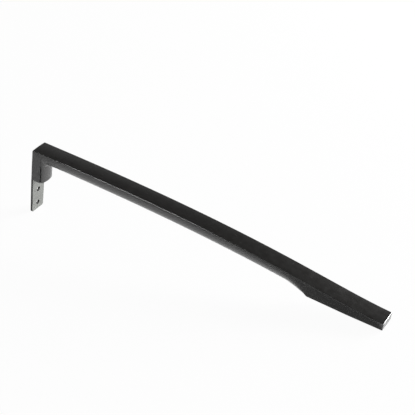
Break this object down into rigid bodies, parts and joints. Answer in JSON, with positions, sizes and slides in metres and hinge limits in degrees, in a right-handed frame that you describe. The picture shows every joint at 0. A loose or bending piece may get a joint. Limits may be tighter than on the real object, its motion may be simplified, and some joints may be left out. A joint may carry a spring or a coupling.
{
  "type": "refrigerator door handle",
  "caption": "Black moulded refrigerator door handle: bowed D-section grip, square leg with a steel screw bracket moulded in, and a tapering foot that lands flat on the door.",
  "frame": {"origin": "midway between the bracket's two screw holes, on the bracket face that bears on the door's end", "axes": "+X along the bar from the leg towards the foot, +Z away from the door face, +Y across the handle"},
  "size_m": [0.443, 0.023, 0.0897],
  "materials": {
    "black_plastic": "black moulded plastic with a satin gloss",
    "plated_steel": "dull zinc-plated steel"
  },
  "bodies": {
    "root": {"handle_body": "black_plastic", "mounting_bracket": "plated_steel"}
  },
  "joints": []
}
